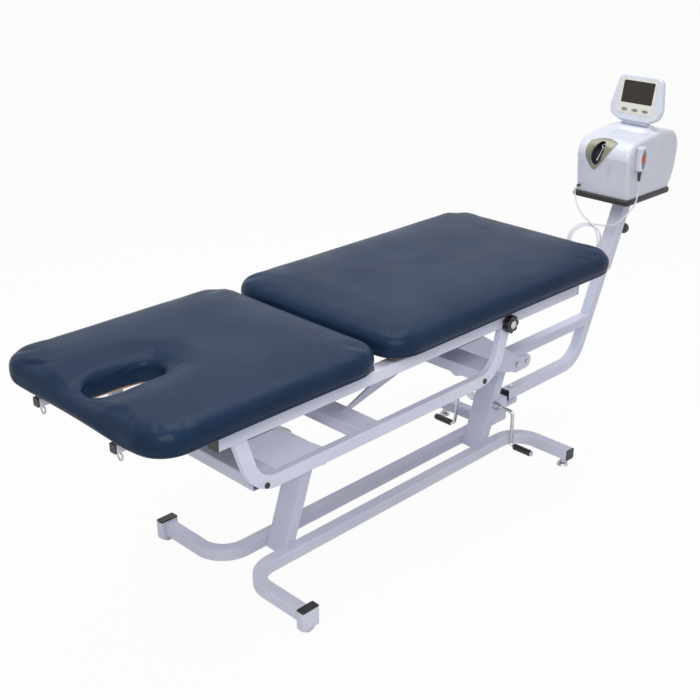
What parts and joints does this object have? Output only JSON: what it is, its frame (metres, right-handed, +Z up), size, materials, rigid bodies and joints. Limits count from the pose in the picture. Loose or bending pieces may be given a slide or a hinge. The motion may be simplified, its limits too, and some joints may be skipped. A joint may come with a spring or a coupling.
{
  "type": "traction table",
  "caption": "Padded treatment couch with face slot and gliding lumbar section on a crank-raised frame, with a traction unit and display on a mast at its foot end.",
  "frame": {"origin": "on the floor, under the middle of the whole table's length and width", "axes": "+X along the couch from the head end to the traction unit, +Y across towards the far side (the lock knob is on the -Y side), +Z up"},
  "size_m": [2.5246, 0.694, 1.185],
  "materials": {
    "frame_white": "satin powder coat",
    "steel": "zinc plated",
    "black_plastic": "satin black",
    "dark_grey": "satin dark grey",
    "wheel_grey": "pale grey nylon",
    "vinyl_navy": "navy vinyl, satin",
    "plywood": "bare plywood",
    "unit_white": "glossy white moulding",
    "bezel_olive": "metallic olive grey",
    "hook_chrome": "polished",
    "drive_aluminium": "plain",
    "panel_cream": "pale cream",
    "screen_dark": "dark brown, unlit",
    "button_grey": "grey",
    "stop_red": "red-orange",
    "lead_white": "white flexible jacket"
  },
  "bodies": {
    "base": {"base_rail_near": "frame_white", "base_rail_far": "frame_white", "caster_boxes": "frame_white", "caster_axles": "steel", "base_caps": "black_plastic", "legs": "frame_white", "gear_housing": "frame_white", "crank_bearings": "steel"},
    "caster_wheel_near": {"caster_wheel_near": "wheel_grey"},
    "caster_wheel_far": {"caster_wheel_far": "wheel_grey"},
    "levelling_foot_near": {"levelling_foot_near": "steel"},
    "levelling_foot_far": {"levelling_foot_far": "steel"},
    "crank": {"crank_bar": "steel"},
    "crank_grip_near": {"crank_grip_near": "black_plastic"},
    "crank_grip_far": {"crank_grip_far": "black_plastic"},
    "lift_screw": {"lift_screw": "steel"},
    "bed": {"inner_legs": "frame_white", "cradle_near": "frame_white", "cradle_far": "frame_white", "ear_saddles": "frame_white", "leg_ears": "frame_white", "cradle_braces": "frame_white", "frame_bolts": "steel", "bed_rail_near": "frame_white", "bed_rail_far": "frame_white", "bed_cross_members": "frame_white", "bed_caps": "black_plastic", "roller_tracks": "frame_white", "head_tubes": "frame_white", "eye_bolts": "steel", "head_cushion": "vinyl_navy", "head_board": "plywood", "mast_frame": "frame_white"},
    "lumbar": {"lumbar_cushion": "vinyl_navy", "lumbar_board": "plywood", "lumbar_carriage": "frame_white"},
    "roller_front": {"roller_front": "wheel_grey"},
    "roller_rear": {"roller_rear": "wheel_grey"},
    "star_knob": {"star_knob": "black_plastic"},
    "mast_head": {"mast_sleeve": "frame_white", "unit_shelf": "black_plastic", "unit_case": "unit_white", "port_bezel": "bezel_olive", "unit_fittings": "dark_grey", "rope_hook": "hook_chrome", "drum_drive": "drive_aluminium", "hand_switch": "unit_white", "lead_upper": "lead_white", "lead_coil": "lead_white", "lead_lower": "lead_white"},
    "mast_knob": {"mast_knob": "black_plastic"},
    "rope_drum": {"rope_drum": "drive_aluminium"},
    "display": {"display_pod": "unit_white", "display_panel": "panel_cream", "display_screen": "screen_dark"},
    "display_button_left": {"display_button_left": "button_grey"},
    "display_button_middle": {"display_button_middle": "button_grey"},
    "display_button_right": {"display_button_right": "button_grey"},
    "stop_button": {"stop_button": "stop_red"}
  },
  "joints": [
    {"name": "caster_wheel_near_turn", "type": "hinge", "parent": "base", "child": "caster_wheel_near", "pos_m": [-0.78726, -0.312, 0.025], "axis": [0, 1, 0], "continuous": true},
    {"name": "levelling_foot_near_screw", "type": "slide", "parent": "base", "child": "levelling_foot_near", "axis": [0, 0, 1], "range_m": [-0.01, 0.01]},
    {"name": "caster_wheel_far_turn", "type": "hinge", "parent": "base", "child": "caster_wheel_far", "pos_m": [-0.78726, 0.312, 0.025], "axis": [0, 1, 0], "continuous": true},
    {"name": "levelling_foot_far_screw", "type": "slide", "parent": "base", "child": "levelling_foot_far", "axis": [0, 0, 1], "range_m": [-0.01, 0.01]},
    {"name": "crank_turn", "type": "hinge", "parent": "base", "child": "crank", "pos_m": [0.33999, 0, 0.182], "axis": [0, 1, 0], "range_deg": [-5, 3245]},
    {"name": "crank_grip_near_turn", "type": "hinge", "parent": "crank", "child": "crank_grip_near", "pos_m": [0.33999, -0.167, 0.056], "axis": [0, 1, 0], "continuous": true},
    {"name": "crank_grip_far_turn", "type": "hinge", "parent": "crank", "child": "crank_grip_far", "pos_m": [0.32028, 0.167, 0.05755], "axis": [0, 1, 0], "continuous": true},
    {"name": "lift_screw_turn", "type": "hinge", "parent": "base", "child": "lift_screw", "pos_m": [0.33999, 0, 0.182], "axis": [0.3206, 0, 0.9472], "range_deg": [-5, 3245]},
    {"name": "bed_lift", "type": "slide", "parent": "base", "child": "bed", "axis": [0.3206, 0, 0.9472], "range_m": [0, 0.09]},
    {"name": "lumbar_slide", "type": "slide", "parent": "bed", "child": "lumbar", "axis": [1, 0, 0], "range_m": [0, 0.15]},
    {"name": "roller_front_turn", "type": "hinge", "parent": "lumbar", "child": "roller_front", "pos_m": [-0.28226, 0, 0.654], "axis": [0, 1, 0], "range_deg": [-10, 740]},
    {"name": "roller_rear_turn", "type": "hinge", "parent": "lumbar", "child": "roller_rear", "pos_m": [0.17774, 0, 0.654], "axis": [0, 1, 0], "range_deg": [-10, 740]},
    {"name": "star_knob_turn", "type": "hinge", "parent": "bed", "child": "star_knob", "pos_m": [0.04074, -0.296, 0.648], "axis": [0, 1, 0], "range_deg": [0, 720]},
    {"name": "mast_slide", "type": "slide", "parent": "bed", "child": "mast_head", "axis": [0.395, 0, 0.9187], "range_m": [0, 0.1]},
    {"name": "mast_knob_turn", "type": "hinge", "parent": "mast_head", "child": "mast_knob", "pos_m": [1.09677, 0, 0.6392], "axis": [0.9187, 0, -0.395], "range_deg": [0, 720]},
    {"name": "rope_drum_turn", "type": "hinge", "parent": "mast_head", "child": "rope_drum", "pos_m": [1.10274, 0, 0.868], "axis": [0, 1, 0], "continuous": true},
    {"name": "display_tilt", "type": "hinge", "parent": "mast_head", "child": "display", "pos_m": [1.12774, 0, 1.0233], "axis": [0, 1, 0], "range_deg": [-15, 15]},
    {"name": "display_button_left_press", "type": "slide", "parent": "display", "child": "display_button_left", "axis": [0.9816, 0, -0.1908], "range_m": [0, 0.0015], "stiffness_N_per_m": 800, "springref_m": -0.001},
    {"name": "display_button_middle_press", "type": "slide", "parent": "display", "child": "display_button_middle", "axis": [0.9816, 0, -0.1908], "range_m": [0, 0.0015], "stiffness_N_per_m": 800, "springref_m": -0.001},
    {"name": "display_button_right_press", "type": "slide", "parent": "display", "child": "display_button_right", "axis": [0.9816, 0, -0.1908], "range_m": [0, 0.0015], "stiffness_N_per_m": 800, "springref_m": -0.001},
    {"name": "stop_button_press", "type": "slide", "parent": "mast_head", "child": "stop_button", "axis": [0, 1, 0], "range_m": [0, 0.0015], "stiffness_N_per_m": 800, "springref_m": -0.001}
  ],
  "couplings": [
    {"joint": "lift_screw_turn", "follows": "bed_lift", "rad_per_m": 628.32},
    {"joint": "crank_turn", "follows": "bed_lift", "rad_per_m": 628.32},
    {"joint": "roller_front_turn", "follows": "lumbar_slide", "rad_per_m": 83.333},
    {"joint": "roller_rear_turn", "follows": "lumbar_slide", "rad_per_m": 83.333}
  ]
}
